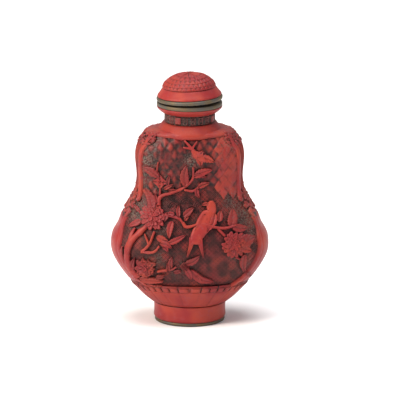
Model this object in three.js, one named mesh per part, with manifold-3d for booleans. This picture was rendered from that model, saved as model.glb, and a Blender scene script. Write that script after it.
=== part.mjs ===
// A snuff bottle in carved cinnabar lacquer: a flattened, waisted body on a round foot, with a bird
// and flowers in relief, brass rims at the foot and the lip, and a domed stopper that rests on the lip.
//
// Units are millimetres and +Z is up. The front looks along -Y. The origin is the middle of the
// underside, on the surface that the bottle stands on.

import * as THREE from 'three';
import { mergeVertices } from 'three/addons/utils/BufferGeometryUtils.js';
import Module from 'manifold-3d';

const wasm = await Module();
wasm.setup();
const { Manifold, Mesh } = wasm;

// ---------------------------------------------------------------- driving dimensions

const GAP = 0.3; // between two pieces where one rests on the other
const WALL = 3.2;
const BORE_RADIUS = 4.0;

const RIM_HEIGHT = 0.8;
const RIM_RADIUS = 10.5;
const RIM_BORE = 8.4;

const FOOT_BOTTOM = RIM_HEIGHT + GAP;
const FOOT_TOP = 6.2;
const FOOT_RADIUS = 10.8;
const FOOT_RECESS = 2.2; // how far the underside is hollowed
const FLOOR_TOP = 7.2;

const SHOULDER_TOP = 59.3;
const CAVITY_TOP = 55.5;
const COLLAR_RADIUS = 9.9;
const NECK_RADIUS = 7.6;
const LIP_TOP = 66.0;
const LIP_RADIUS = 9.8;

const LIP_RIM_HEIGHT = 0.9;
const PLATE_RADIUS = 9.9;
const PLATE_HEIGHT = 0.9;
const DOME_HEIGHT = 7.0;
const STOPPER_TILT = THREE.MathUtils.degToRad(2);

const PANEL_RECESS = 0.9; // depth of the carved ground below the frames

const BODY_SIDES = 36;
const CAVITY_SIDES = 20;
const ROUND_SIDES = 28; // around the foot, the neck, the rims and the stopper

// Body sections from the foot up: height, half width, half depth and corner power. A power of 2 is
// an ellipse, and a higher one is squarer.
const BODY = [
  [FOOT_TOP, 11.0, 10.9, 2.0],
  [9.2, 14.4, 12.2, 2.2],
  [13.8, 18.6, 13.9, 2.5],
  [18.0, 21.6, 15.2, 2.65],
  [21.4, 23.3, 15.8, 2.7],
  [24.0, 23.7, 16.0, 2.7],
  [26.6, 23.3, 15.8, 2.7],
  [29.6, 21.7, 15.1, 2.7],
  [33.0, 20.4, 13.9, 2.7],
  [38.0, 17.6, 12.0, 2.7],
  [44.0, 16.3, 10.9, 2.7],
  [51.0, 16.7, 11.2, 2.6],
  [54.5, 16.0, 10.9, 2.5],
  [57.0, 14.3, 10.0, 2.3],
  [58.6, 12.9, 9.3, 2.2],
  [SHOULDER_TOP, 10.8, 8.8, 2.0],
];

// Half width of the carved panel, by height.
const PANEL = [
  [12.4, 11.8],
  [14.7, 15.2],
  [17.0, 17.4],
  [20.0, 19.5],
  [24.0, 21.0],
  [28.0, 20.6],
  [31.0, 20.0],
  [33.5, 18.9],
  [36.0, 17.0],
  [39.0, 15.1],
  [42.0, 14.6],
  [50.0, 14.6],
  [53.5, 14.2],
  [55.5, 12.9],
  [57.6, 11.6],
];

// ---------------------------------------------------------------- sections of the body

/** Smooth value of each column of a table at one height. */
function tableAt(table, height) {
  const last = table.length - 1;
  const z = THREE.MathUtils.clamp(height, table[0][0], table[last][0]);
  let row = 0;
  while (row < last - 1 && z > table[row + 1][0]) row += 1;
  const from = table[row];
  const to = table[row + 1];
  const span = to[0] - from[0];
  const t = (z - from[0]) / span;
  const slope = (at, column) => {
    const before = table[Math.max(at - 1, 0)];
    const after = table[Math.min(at + 1, last)];
    return (after[column] - before[column]) / (after[0] - before[0]);
  };
  return from.slice(1).map((value, offset) => {
    const column = offset + 1;
    const rise = to[column] - value;
    const startSlope = slope(row, column) * span;
    const endSlope = slope(row + 1, column) * span;
    const cubic = startSlope + endSlope - 2 * rise;
    const square = rise - startSlope - cubic;
    return value + t * (startSlope + t * (square + t * cubic));
  });
}

/** How far the body reaches forward at one place of its front. */
function frontDepth(x, z) {
  const [halfWidth, halfDepth, power] = tableAt(BODY, z);
  const across = Math.min(Math.abs(x) / halfWidth, 0.97);
  return halfDepth * (1 - across ** power) ** (1 / power);
}

/** The depth of the carved ground, below the frames. */
function groundDepth(x, z) {
  const [, halfDepth] = tableAt(BODY, z);
  return (frontDepth(x, z) * (halfDepth - PANEL_RECESS)) / halfDepth;
}

// ---------------------------------------------------------------- solids

/** A closed geometry as a solid that can be joined and cut. */
function solid(geometry) {
  geometry.deleteAttribute('normal');
  geometry.deleteAttribute('uv');
  const welded = mergeVertices(geometry, 1e-4);
  const corners = welded.index.array;
  const kept = [];
  for (let i = 0; i < corners.length; i += 3) {
    const [a, b, c] = [corners[i], corners[i + 1], corners[i + 2]];
    if (a !== b && b !== c && c !== a) kept.push(a, b, c);
  }
  const vertProperties = welded.attributes.position.array;
  return new Manifold(new Mesh({ numProp: 3, vertProperties, triVerts: Uint32Array.from(kept) }));
}

/** The same geometry with each of its points moved. */
function reshape(geometry, move) {
  const position = geometry.attributes.position;
  for (let i = 0; i < position.count; i += 1) {
    position.setXYZ(i, ...move(position.getX(i), position.getY(i), position.getZ(i)));
  }
  return geometry;
}

/** A profile of [radius, height] pairs, from the axis to the axis, turned around +Z. */
function turned(profile, segments) {
  const points = profile.map(([radius, height]) => new THREE.Vector2(radius, height));
  return new THREE.LatheGeometry(points, segments).rotateX(Math.PI / 2);
}

/** A form with the body's sections between two heights, each section moved out by a margin. */
function bodyForm(heights, segments, widthMargin, depthMargin) {
  const profile = heights.map((height) => [1, height]);
  const closed = [[0, heights[0]], ...profile, [0, heights[heights.length - 1]]];
  return reshape(turned(closed, segments), (x, y, z) => {
    if (Math.hypot(x, y) < 1e-6) return [0, 0, z];
    const [halfWidth, halfDepth, power] = tableAt(BODY, z);
    const bulge = (value) => Math.sign(value) * Math.abs(value) ** (2 / power);
    return [(halfWidth + widthMargin) * bulge(x), (halfDepth + depthMargin) * bulge(y), z];
  });
}

/** Heights from bottom to top, evenly spaced. */
function rows(bottom, top, count) {
  return Array.from({ length: count + 1 }, (_, i) => bottom + ((top - bottom) * i) / count);
}

// ---------------------------------------------------------------- relief

const RELIEF_ROOT = 0.6; // how deep a carved piece runs into the ground
const LEAF_RAISE = 0.75;
const BRANCH_RAISE = 0.65;
const FLOWER_RAISE = 0.95;
const BIRD_RAISE = 1.05;

/** A flat outline in width and height, raised from the carved ground of the front. */
function raised(outline, height) {
  const depth = height + RELIEF_ROOT;
  const slab = new THREE.ExtrudeGeometry(outline, { depth, bevelEnabled: false, curveSegments: 2 });
  slab.translate(0, 0, -RELIEF_ROOT);
  return solid(reshape(slab, (x, z, lift) => [x, -(groundDepth(x, z) + lift), z]));
}

/** A pointed leaf from its foot to its tip. */
function leaf([x0, z0], [x1, z1], width, height = LEAF_RAISE) {
  const along = new THREE.Vector2(x1 - x0, z1 - z0);
  const side = new THREE.Vector2(-along.y, along.x).normalize().multiplyScalar(width);
  const outline = new THREE.Shape();
  outline.moveTo(x0, z0);
  outline.quadraticCurveTo(x0 + along.x * 0.45 + side.x, z0 + along.y * 0.45 + side.y, x1, z1);
  outline.quadraticCurveTo(x0 + along.x * 0.45 - side.x, z0 + along.y * 0.45 - side.y, x0, z0);
  return raised(outline, height);
}

/** A stem through some points, thinning from its foot to its tip. */
function branch(points, footWidth, tipWidth, height = BRANCH_RAISE) {
  const curve = new THREE.SplineCurve(points.map(([x, z]) => new THREE.Vector2(x, z)));
  const steps = points.length;
  const left = [];
  const right = [];
  for (let i = 0; i <= steps; i += 1) {
    const t = i / steps;
    const { x, y } = curve.getPoint(t);
    const tangent = curve.getTangent(t);
    const half = THREE.MathUtils.lerp(footWidth, tipWidth, t) / 2;
    left.push(new THREE.Vector2(x - tangent.y * half, y + tangent.x * half));
    right.unshift(new THREE.Vector2(x + tangent.y * half, y - tangent.x * half));
  }
  return raised(new THREE.Shape([...left, ...right]), height);
}

/** A round flower with pointed petals and a raised heart. */
function flower([x, z], radius, petals, height = FLOWER_RAISE) {
  const outline = new THREE.Shape();
  for (let i = 0; i <= 2 * petals; i += 1) {
    const reach = i % 2 ? radius * 0.84 : radius;
    const angle = (Math.PI * i) / petals;
    const point = [x + reach * Math.cos(angle), z + reach * Math.sin(angle)];
    if (i === 0) outline.moveTo(...point);
    else outline.lineTo(...point);
  }
  const heart = new THREE.Shape();
  heart.absarc(x, z, radius * 0.35, 0, 2 * Math.PI);
  return raised(outline, height).add(raised(heart, height * 1.35));
}

/** A closed outline that runs smoothly through some points, the last one next to the first. */
function patch(points, height) {
  const outline = new THREE.Shape();
  outline.moveTo(...points[0]);
  outline.splineThru(points.slice(1).map(([x, z]) => new THREE.Vector2(x, z)));
  return raised(outline, height);
}

/** The front: a trunk with three blooms, a flying swallow, and a long-tailed bird on a branch. */
function frontRelief() {
  return [
    flower([-11.0, 34.4], 3.7, 9),
    flower([13.3, 26.3], 3.6, 9),
    flower([-13.4, 19.2], 3.5, 9),

    branch([[-15.4, 15.6], [-17.8, 19], [-18.6, 23.4], [-17.2, 27.2], [-12.8, 31.6]], 2.0, 1.4, 0.85),
    branch([[-17.9, 26.4], [-16.1, 30.8]], 1.2, 0.7),
    branch([[-14.2, 24.1], [-12.0, 26.6], [-10.4, 30.3]], 0.9, 0.6),
    branch([[-14.4, 24.2], [-10.8, 24.3], [-8.9, 26.2]], 0.9, 0.6),
    leaf([-10.2, 29.1], [-6.0, 27.2], 1.9),
    leaf([-8.8, 26.6], [-5.3, 25.8], 1.6),
    leaf([-6.4, 27.1], [-1.1, 29.4], 1.4),
    leaf([-13.9, 33.4], [-17.9, 31.0], 1.4),
    leaf([-10.7, 36.6], [-13.0, 42.2], 2.4),

    branch([[-9.2, 37.6], [-8.6, 40.2], [-5.1, 41.5], [-1.8, 43.0], [0.9, 45.7], [1.1, 49.3]], 1.1, 0.6),
    branch([[-8.8, 40.4], [-8.7, 43.2]], 0.7, 0.5),
    branch([[-1.6, 42.4], [1.0, 42.0], [3.0, 43.4]], 0.8, 0.6),
    flower([-8.7, 44.6], 1.9, 4, LEAF_RAISE),
    leaf([-9.2, 46.6], [-13.8, 48.7], 1.9),
    leaf([-6.6, 43.3], [-5.9, 46.9], 0.9),
    leaf([-1.0, 43.5], [-0.9, 49.9], 2.5),
    leaf([1.2, 46.6], [6.6, 48.5], 2.0),
    leaf([2.5, 43.1], [5.7, 44.3], 1.4),
    leaf([2.3, 42.6], [2.9, 40.1], 1.2),

    patch([[1.0, 54.9], [2.3, 53.4], [3.7, 53.9], [7.1, 51.2], [3.5, 49.9], [0.8, 52.9]], BIRD_RAISE),
    branch([[1.2, 54.0], [-1.4, 57.0]], 0.9, 0.4),
    branch([[1.2, 54.2], [2.1, 56.7]], 0.8, 0.4),

    patch([[5.0, 37.1], [3.8, 37.9], [6.6, 39.0], [8.0, 37.9], [7.9, 34.2], [5.0, 30.6], [3.4, 28.6],
      [0.9, 29.0], [1.9, 32.8], [3.0, 35.0]], BIRD_RAISE),
    branch([[1.9, 30.2], [0.9, 26.6], [-0.6, 23.1]], 2.4, 0.6, BIRD_RAISE),
    branch([[3.1, 30.2], [3.6, 26.6], [4.1, 23.0]], 2.2, 0.6, BIRD_RAISE),
    branch([[-2.0, 32.9], [-0.7, 31.7], [3.4, 32.5], [7.0, 31.7], [13.8, 31.7]], 1.0, 0.8, FLOWER_RAISE),
    branch([[8.4, 31.2], [10.6, 29.0]], 0.8, 0.6),
    leaf([8.7, 33.2], [9.0, 36.0], 1.5),
    leaf([12.2, 31.4], [12.5, 36.2], 2.7),
    leaf([13.2, 31.5], [16.9, 31.0], 2.0),
    leaf([14.4, 26.6], [19.0, 27.6], 4.0),
    leaf([16.3, 23.4], [16.1, 17.2], 1.7),

    branch([[-7.4, 35.2], [-3.4, 34.2], [-1.9, 32.7]], 0.9, 0.7),
    leaf([-3.2, 34.4], [-3.2, 37.8], 1.0),
    leaf([-1.9, 34.6], [1.2, 37.1], 1.6),
    leaf([-5.1, 33.2], [-6.1, 28.6], 1.8),

    flower([-1.6, 19.9], 1.4, 5, LEAF_RAISE),
    leaf([-1.2, 21.0], [3.0, 23.0], 1.6),
    leaf([-1.0, 19.2], [0.6, 15.7], 1.7),
    leaf([-0.2, 19.2], [6.9, 14.9], 2.2),
    leaf([-5.6, 19.6], [-5.2, 22.7], 1.3),
    branch([[-9.6, 18.2], [-5.6, 19.0], [-4.0, 19.8]], 0.7, 0.6),
    leaf([-14.2, 14.6], [-7.8, 14.9], 1.6),
  ];
}

/** The back, plainer: one spray of blooms and leaves. */
function backRelief() {
  return [
    branch([[9.0, 15.0], [6.0, 22.0], [8.0, 30.0], [2.0, 38.0], [1.0, 47.0]], 2.0, 0.8, 0.85),
    branch([[6.4, 24.0], [-2.0, 27.0], [-9.0, 33.0]], 1.1, 0.7),
    branch([[3.4, 36.4], [-3.0, 40.0], [-6.0, 45.0]], 0.9, 0.6),
    flower([-10.5, 33.5], 3.7, 9),
    flower([13.0, 27.5], 3.6, 9),
    flower([1.0, 49.0], 3.0, 9),
    flower([-6.6, 18.5], 3.4, 9),
    leaf([8.0, 28.0], [2.6, 33.0], 2.2),
    leaf([7.0, 22.0], [13.6, 18.4], 2.4),
    leaf([-3.0, 27.6], [-9.6, 25.4], 2.2),
    leaf([3.0, 38.0], [9.4, 40.6], 2.1),
    leaf([2.0, 42.4], [8.4, 47.4], 2.1),
    leaf([-6.0, 44.0], [-10.4, 49.4], 2.0),
    leaf([6.6, 20.0], [0.6, 15.6], 1.9),
    leaf([2.8, 26.0], [-1.4, 21.4], 2.2, BIRD_RAISE),
  ].map((piece) => piece.rotate([0, 0, 180]));
}

// ---------------------------------------------------------------- bands around the body

const LAPPETS = 22;
const LAPPET_BOTTOM = 6.9;
const LAPPET_TOP = 11.0;
const LAPPET_HALF_WIDTH = 1.3;
const LAPPET_RAISE = 0.3;
const BORDER_BOTTOM = 11.5;
const BORDER_TOP = 12.8;
const BORDER_RAISE = 0.35;

/** A slab that lies around the body: angle across, height up, and lift outward. */
function around(outline, height, angle) {
  const depth = height + RELIEF_ROOT;
  const slab = new THREE.ExtrudeGeometry(outline, { depth, bevelEnabled: false });
  slab.translate(0, 0, -RELIEF_ROOT);
  return solid(reshape(slab, (across, z, lift) => {
    const [halfWidth, halfDepth, power] = tableAt(BODY, z);
    const turn = angle + across / halfWidth;
    const bulge = (value) => Math.sign(value) * Math.abs(value) ** (2 / power);
    return [(halfWidth + lift) * bulge(Math.cos(turn)), (halfDepth + lift) * bulge(Math.sin(turn)), z];
  }));
}

/** The band of upright lappets, under a narrow raised border. */
function lappetBand() {
  const pieces = [solid(bodyForm([BORDER_BOTTOM, BORDER_TOP], BODY_SIDES, BORDER_RAISE, BORDER_RAISE))];
  for (let i = 0; i < LAPPETS; i += 1) {
    const lappet = new THREE.Shape();
    lappet.moveTo(-LAPPET_HALF_WIDTH, LAPPET_BOTTOM);
    lappet.lineTo(LAPPET_HALF_WIDTH, LAPPET_BOTTOM);
    lappet.lineTo(0, LAPPET_TOP);
    pieces.push(around(lappet, LAPPET_RAISE, (2 * Math.PI * (i + 0.5)) / LAPPETS));
  }
  return pieces;
}

/** The small scrolls at the four corners of the waist, where the frames stop. */
function waistScrolls() {
  const pieces = [];
  for (const sideX of [-1, 1]) {
    for (const sideY of [-1, 1]) {
      for (const [x, z, radius] of [[16.9, 37.2, 1.5], [18.4, 34.9, 1.4]]) {
        const scroll = new THREE.IcosahedronGeometry(radius);
        scroll.translate(sideX * x, sideY * (frontDepth(x, z) - 0.3), z);
        pieces.push(solid(scroll));
      }
    }
  }
  return pieces;
}

// ---------------------------------------------------------------- the pieces

/** The outline of the carved panel as a prism that runs forward from the middle of the body. */
function panelPrism() {
  const right = rows(PANEL[0][0], PANEL[PANEL.length - 1][0], 12)
    .map((z) => new THREE.Vector2(tableAt(PANEL, z)[0], z));
  const left = right.map(({ x, y }) => new THREE.Vector2(-x, y)).reverse();
  const reach = 2 * FOOT_RADIUS;
  const slab = new THREE.ExtrudeGeometry(new THREE.Shape([...right, ...left]), {
    depth: reach, bevelEnabled: false,
  });
  return solid(slab.rotateX(Math.PI / 2));
}

function makeBottle() {
  const heights = BODY.map(([height]) => height);
  const body = solid(bodyForm(heights, BODY_SIDES, 0, 0));
  const ground = solid(bodyForm(heights, BODY_SIDES, 0, -PANEL_RECESS));
  const panelCut = panelPrism().subtract(ground);

  const foot = solid(turned([
    [0, FOOT_BOTTOM], [RIM_RADIUS, FOOT_BOTTOM], [FOOT_RADIUS, FOOT_BOTTOM + 0.6],
    [FOOT_RADIUS, FOOT_TOP - 0.3], [FOOT_RADIUS - 0.4, FOOT_TOP], [FOOT_RADIUS - 0.4, FOOT_TOP + 1],
    [0, FOOT_TOP + 1],
  ], ROUND_SIDES));
  const neck = solid(turned([
    [0, CAVITY_TOP], [8.4, CAVITY_TOP], [COLLAR_RADIUS - 0.4, 57.4], [COLLAR_RADIUS, 58.2],
    [COLLAR_RADIUS - 0.4, 59.5], [8.1, 61.0], [NECK_RADIUS, 62.2], [8.0, 63.6], [9.2, 64.8],
    [LIP_RADIUS, 65.4], [LIP_RADIUS, LIP_TOP], [0, LIP_TOP],
  ], ROUND_SIDES));

  const cavityHeights = [...rows(FLOOR_TOP, 13, 2), ...rows(17, 49, 6), 52.5, CAVITY_TOP];
  const cavity = solid(bodyForm(cavityHeights, CAVITY_SIDES, -WALL, -WALL));
  const boreBottom = CAVITY_TOP - 4;
  const bore = solid(turned([
    [0, boreBottom], [BORE_RADIUS, boreBottom], [BORE_RADIUS, LIP_TOP + 1], [0, LIP_TOP + 1],
  ], CAVITY_SIDES));
  const footHollow = solid(turned([
    [0, 0], [RIM_BORE, 0], [RIM_BORE, FOOT_BOTTOM + FOOT_RECESS - 0.6],
    [RIM_BORE - 0.8, FOOT_BOTTOM + FOOT_RECESS], [0, FOOT_BOTTOM + FOOT_RECESS],
  ], ROUND_SIDES));

  const carving = Manifold.union([
    ...frontRelief(), ...backRelief(), ...lappetBand(), ...waistScrolls(),
  ]);
  return body
    .subtract(panelCut)
    .subtract(panelCut.rotate([0, 0, 180]))
    .add(carving)
    .add(foot)
    .add(neck)
    .subtract(cavity)
    .subtract(bore)
    .subtract(footHollow);
}

/** A flat ring, with its lower edge eased. */
function makeRing(bottom, height, bore, radius) {
  const edge = 0.25;
  const top = bottom + height;
  return solid(turned([
    [bore, bottom], [radius - edge, bottom], [radius, bottom + edge], [radius, top], [bore, top],
    [bore, bottom],
  ], ROUND_SIDES));
}

function makeStopperPlate() {
  const edge = 0.25;
  return solid(turned([
    [0, 0], [PLATE_RADIUS - edge, 0], [PLATE_RADIUS, edge], [PLATE_RADIUS, PLATE_HEIGHT - edge],
    [PLATE_RADIUS - edge, PLATE_HEIGHT], [0, PLATE_HEIGHT],
  ], ROUND_SIDES));
}

/** The dome: a smooth flared skirt, a ledge, and a rounded cap above it. */
function makeStopperDome() {
  const skirt = [[0, 0], [9.6, 0], [9.5, 0.6], [8.7, 1.6], [8.0, 2.6]];
  const cap = [[8.2, 2.75], [7.9, 3.5], [7.1, 4.5], [5.9, 5.5], [4.4, 6.3], [2.4, 6.8], [0, DOME_HEIGHT]];
  return solid(turned([...skirt, ...cap], ROUND_SIDES));
}

// ---------------------------------------------------------------- scene graph

const LACQUER = { color: 0xb5443a, roughness: 0.5, metalness: 0 };
const BRASS = { color: 0x7e6650, roughness: 0.45, metalness: 0.9 };

/** A solid as a named mesh with flat faces. */
function piece(name, form, look) {
  const { vertProperties, triVerts } = form.getMesh();
  const geometry = new THREE.BufferGeometry();
  geometry.setAttribute('position', new THREE.BufferAttribute(Float32Array.from(vertProperties), 3));
  geometry.setIndex(new THREE.BufferAttribute(Uint32Array.from(triVerts), 1));
  geometry.computeVertexNormals();
  const mesh = new THREE.Mesh(geometry, new THREE.MeshStandardMaterial(look));
  mesh.name = name;
  return mesh;
}

const snuffBottle = new THREE.Group();
snuffBottle.add(piece('bottle', makeBottle(), LACQUER));
snuffBottle.add(piece('foot_rim', makeRing(0, RIM_HEIGHT, RIM_BORE, RIM_RADIUS), BRASS));

const lipRimBottom = LIP_TOP + GAP;
const lipRimTop = lipRimBottom + LIP_RIM_HEIGHT;
snuffBottle.add(
  piece('lip_rim', makeRing(lipRimBottom, LIP_RIM_HEIGHT, BORE_RADIUS, LIP_RADIUS), BRASS),
);

// The stopper sits a little askew: it touches the lip on one side and stands clear on the other.
const stopper = new THREE.Group();
stopper.position.z = lipRimTop + GAP + PLATE_RADIUS * Math.sin(STOPPER_TILT);
stopper.rotation.y = -STOPPER_TILT;
stopper.add(piece('stopper_base', makeStopperPlate(), BRASS));
const dome = piece('stopper_dome', makeStopperDome(), LACQUER);
dome.position.z = PLATE_HEIGHT + GAP;
stopper.add(dome);
snuffBottle.add(stopper);

export default snuffBottle;
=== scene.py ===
import bisect
import math
import random

import bmesh
import bpy
from mathutils import Matrix, Vector, noise


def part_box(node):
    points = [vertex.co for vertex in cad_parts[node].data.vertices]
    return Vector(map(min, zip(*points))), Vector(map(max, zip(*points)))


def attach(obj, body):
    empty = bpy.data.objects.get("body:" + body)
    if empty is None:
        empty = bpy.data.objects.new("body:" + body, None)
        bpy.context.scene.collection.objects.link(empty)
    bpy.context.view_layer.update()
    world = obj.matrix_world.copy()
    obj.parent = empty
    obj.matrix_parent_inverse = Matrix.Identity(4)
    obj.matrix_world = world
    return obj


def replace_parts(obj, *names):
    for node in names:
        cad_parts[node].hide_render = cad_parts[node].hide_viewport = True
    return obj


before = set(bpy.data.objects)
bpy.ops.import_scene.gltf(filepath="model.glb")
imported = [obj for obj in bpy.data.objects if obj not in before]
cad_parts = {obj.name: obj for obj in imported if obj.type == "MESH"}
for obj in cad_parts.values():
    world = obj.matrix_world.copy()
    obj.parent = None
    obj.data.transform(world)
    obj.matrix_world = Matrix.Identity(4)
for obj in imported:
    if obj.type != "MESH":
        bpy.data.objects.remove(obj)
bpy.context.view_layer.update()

# A carved cinnabar lacquer snuff bottle. Every length below is in millimetres, in the frame of the
# solids: +Z up, the front along -Y, the origin in the middle of the underside. A finished piece is
# brought to metres as it is put into the scene.
MM = 0.001

# ------------------------------------------------------------------ sizes taken from the solids


def node_box(name):
    """Lowest and highest corner of a solid, in millimetres."""
    low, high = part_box(name)
    return Vector(low) / MM, Vector(high) / MM


BOTTLE_LOW, BOTTLE_HIGH = node_box("bottle")
FOOT_RIM_LOW, FOOT_RIM_HIGH = node_box("foot_rim")
LIP_RIM_LOW, LIP_RIM_HIGH = node_box("lip_rim")

FOOT_BOTTOM = BOTTLE_LOW.z
LIP_TOP = BOTTLE_HIGH.z
LIP_RADIUS = LIP_RIM_HIGH.x
FOOT_RIM_RADIUS = FOOT_RIM_HIGH.x

FOOT_TOP = 6.2
FOOT_RADIUS = 10.8
FOOT_HOLLOW_RADIUS = 8.4
FOOT_HOLLOW_TOP = 3.3
SHOULDER_TOP = 59.3
WALL = 3.2
CAVITY_FLOOR = 7.2
CAVITY_TOP = 55.5
BORE_RADIUS = 4.0
COLLAR_RADIUS = 9.9
PANEL_RECESS = 0.9
STOPPER_TILT = math.radians(2)
PLATE_RADIUS = 9.9

# Body sections from the foot up: height, half width, half depth and corner power.
BODY = [
    (FOOT_TOP, 11.0, 10.9, 2.0),
    (9.2, 14.4, 12.2, 2.2),
    (13.8, 18.6, 13.9, 2.5),
    (18.0, 21.6, 15.2, 2.65),
    (21.4, 23.3, 15.8, 2.7),
    (24.0, 23.7, 16.0, 2.7),
    (26.6, 23.3, 15.8, 2.7),
    (29.6, 21.7, 15.1, 2.7),
    (33.0, 20.4, 13.9, 2.7),
    (38.0, 17.6, 12.0, 2.7),
    (44.0, 16.3, 10.9, 2.7),
    (51.0, 16.7, 11.2, 2.6),
    (54.5, 16.0, 10.9, 2.5),
    (57.0, 14.3, 10.0, 2.3),
    (58.6, 12.9, 9.3, 2.2),
    (SHOULDER_TOP, 10.8, 8.8, 2.0),
]

# Half width of the carved panel, by height.
PANEL = [
    (12.4, 11.8),
    (14.7, 15.2),
    (17.0, 17.4),
    (20.0, 19.5),
    (24.0, 21.0),
    (28.0, 20.6),
    (31.0, 20.0),
    (33.5, 18.9),
    (36.0, 17.0),
    (39.0, 15.1),
    (42.0, 14.6),
    (50.0, 14.6),
    (53.5, 14.2),
    (55.5, 12.9),
    (57.6, 11.6),
]


def table_at(table, height):
    """Smooth value of each column of a table at one height."""
    last = len(table) - 1
    z = min(max(height, table[0][0]), table[last][0])
    row = 0
    while row < last - 1 and z > table[row + 1][0]:
        row += 1
    start, end = table[row], table[row + 1]
    span = end[0] - start[0]
    t = (z - start[0]) / span
    before, after = table[max(row - 1, 0)], table[min(row + 2, last)]
    values = []
    for column in range(1, len(start)):
        rise = end[column] - start[column]
        slope_in = (end[column] - before[column]) / (end[0] - before[0]) * span
        slope_out = (after[column] - start[column]) / (after[0] - start[0]) * span
        cubic = slope_in + slope_out - 2 * rise
        square = rise - slope_in - cubic
        values.append(start[column] + t * (slope_in + t * (square + t * cubic)))
    return values


SECTION_STEP = 0.05
SECTIONS = {}


def section(z):
    """Half width, half depth and corner power of the body at a stored height."""
    key = round(z / SECTION_STEP)
    if key not in SECTIONS:
        SECTIONS[key] = table_at(BODY, key * SECTION_STEP)
    return SECTIONS[key]


def smooth_section(z):
    """The section between two stored heights, so that no step shows."""
    key = math.floor(z / SECTION_STEP)
    t = z / SECTION_STEP - key
    low, high = section(key * SECTION_STEP), section((key + 1) * SECTION_STEP)
    return [a + (b - a) * t for a, b in zip(low, high)]


def panel_half_width(z):
    return table_at(PANEL, z)[0]


def front_depth(x, z, recess=0.0):
    """How far the body reaches forward at one place of its front."""
    half_width, half_depth, power = smooth_section(z)
    across = min(abs(x) / half_width, 0.985)
    return (half_depth - recess) * (1 - across**power) ** (1 / power)


def on_front(x, z, lift, recess=PANEL_RECESS):
    """A place on the front's carved ground, lifted off it along its own direction."""
    probe = 0.12
    depth = front_depth(x, z, recess)
    across = (front_depth(x + probe, z, recess) - front_depth(x - probe, z, recess)) / (2 * probe)
    up = (front_depth(x, z + probe, recess) - front_depth(x, z - probe, recess)) / (2 * probe)
    outward = Vector((-across, -1.0, -up)).normalized()
    return Vector((x, -depth, z)) + outward * lift


def bulge(value, power):
    return math.copysign(abs(value) ** (2 / power), value)


def around(turn, z, lift):
    """A place around the body at an angle, lifted off it."""

    def at(angle, height):
        half_width, half_depth, power = smooth_section(height)
        x = half_width * bulge(math.cos(angle), power)
        y = half_depth * bulge(math.sin(angle), power)
        return Vector((x, y, height))

    probe = 0.01
    here = at(turn, z)
    sideways = at(turn + probe, z) - at(turn - probe, z)
    upward = at(turn, z + 0.1) - at(turn, z - 0.1)
    return here + sideways.cross(upward).normalized() * lift


# ------------------------------------------------------------------ node helpers for finishes


class Finish:
    """A material being built from nodes."""

    def __init__(self, name):
        self.material = bpy.data.materials.new(name)
        self.material.use_nodes = True
        self.nodes = self.material.node_tree.nodes
        self.links = self.material.node_tree.links
        self.shader = self.nodes["Principled BSDF"]
        self.place = self.nodes.new("ShaderNodeTexCoord").outputs["Object"]

    def link(self, source, target):
        self.links.new(source, target)

    def feed(self, socket, value):
        if isinstance(value, bpy.types.NodeSocket):
            self.link(value, socket)
        else:
            socket.default_value = value

    def attribute(self, name):
        node = self.nodes.new("ShaderNodeAttribute")
        node.attribute_name = name
        return node.outputs["Fac"]

    def noise(self, grains_per_mm, detail=3.0, roughness=0.55, distortion=0.0):
        node = self.nodes.new("ShaderNodeTexNoise")
        self.link(self.place, node.inputs["Vector"])
        node.inputs["Scale"].default_value = grains_per_mm / MM
        node.inputs["Detail"].default_value = detail
        node.inputs["Roughness"].default_value = roughness
        node.inputs["Distortion"].default_value = distortion
        return node.outputs["Fac"]

    def ramp(self, value, low, high, smooth=True):
        """0 below low, 1 above high."""
        node = self.nodes.new("ShaderNodeMapRange")
        node.interpolation_type = "SMOOTHSTEP" if smooth else "LINEAR"
        self.feed(node.inputs["Value"], value)
        node.inputs["From Min"].default_value = low
        node.inputs["From Max"].default_value = high
        return node.outputs["Result"]

    def math(self, operation, first, second=0.0):
        node = self.nodes.new("ShaderNodeMath")
        node.operation = operation
        self.feed(node.inputs[0], first)
        self.feed(node.inputs[1], second)
        return node.outputs[0]

    def mix(self, share, first, second):
        node = self.nodes.new("ShaderNodeMix")
        node.data_type = "RGBA"
        self.feed(node.inputs["Factor"], share)
        for socket, value in ((node.inputs[6], first), (node.inputs[7], second)):
            self.feed(socket, value if isinstance(value, bpy.types.NodeSocket) else (*value, 1.0))
        return node.outputs[2]

    def painted_crevice_shade(self, reach_mm):
        """Ambient occlusion, for painted shade: 1 in the open, towards 0 deep in the carving."""
        node = self.nodes.new("ShaderNodeAmbientOcclusion")
        node.samples = 8
        node.inputs["Distance"].default_value = reach_mm * MM
        return node.outputs["AO"]

    def bump(self, height, strength, depth_mm):
        node = self.nodes.new("ShaderNodeBump")
        node.inputs["Strength"].default_value = strength
        node.inputs["Distance"].default_value = depth_mm * MM
        self.link(height, node.inputs["Height"])
        self.link(node.outputs["Normal"], self.shader.inputs["Normal"])

    def colour(self, value):
        self.feed(self.shader.inputs["Base Color"], value)

    def rough(self, value):
        self.feed(self.shader.inputs["Roughness"], value)


# ------------------------------------------------------------------ finishes

# The first two colours are for the low parts of the carving and its crevices, painted shade; the others are
# the lacquer's own reds and its dust.
PAINTED_SHADE_DARK = (0.014, 0.004, 0.004)
GROUND_MAROON = (0.085, 0.010, 0.010)
LACQUER_DEEP = (0.115, 0.009, 0.010)
LACQUER_RED = (0.215, 0.014, 0.015)
LACQUER_ORANGE = (0.290, 0.032, 0.018)
LACQUER_ROSE = (0.225, 0.033, 0.038)
DUST = (0.130, 0.105, 0.082)


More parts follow.
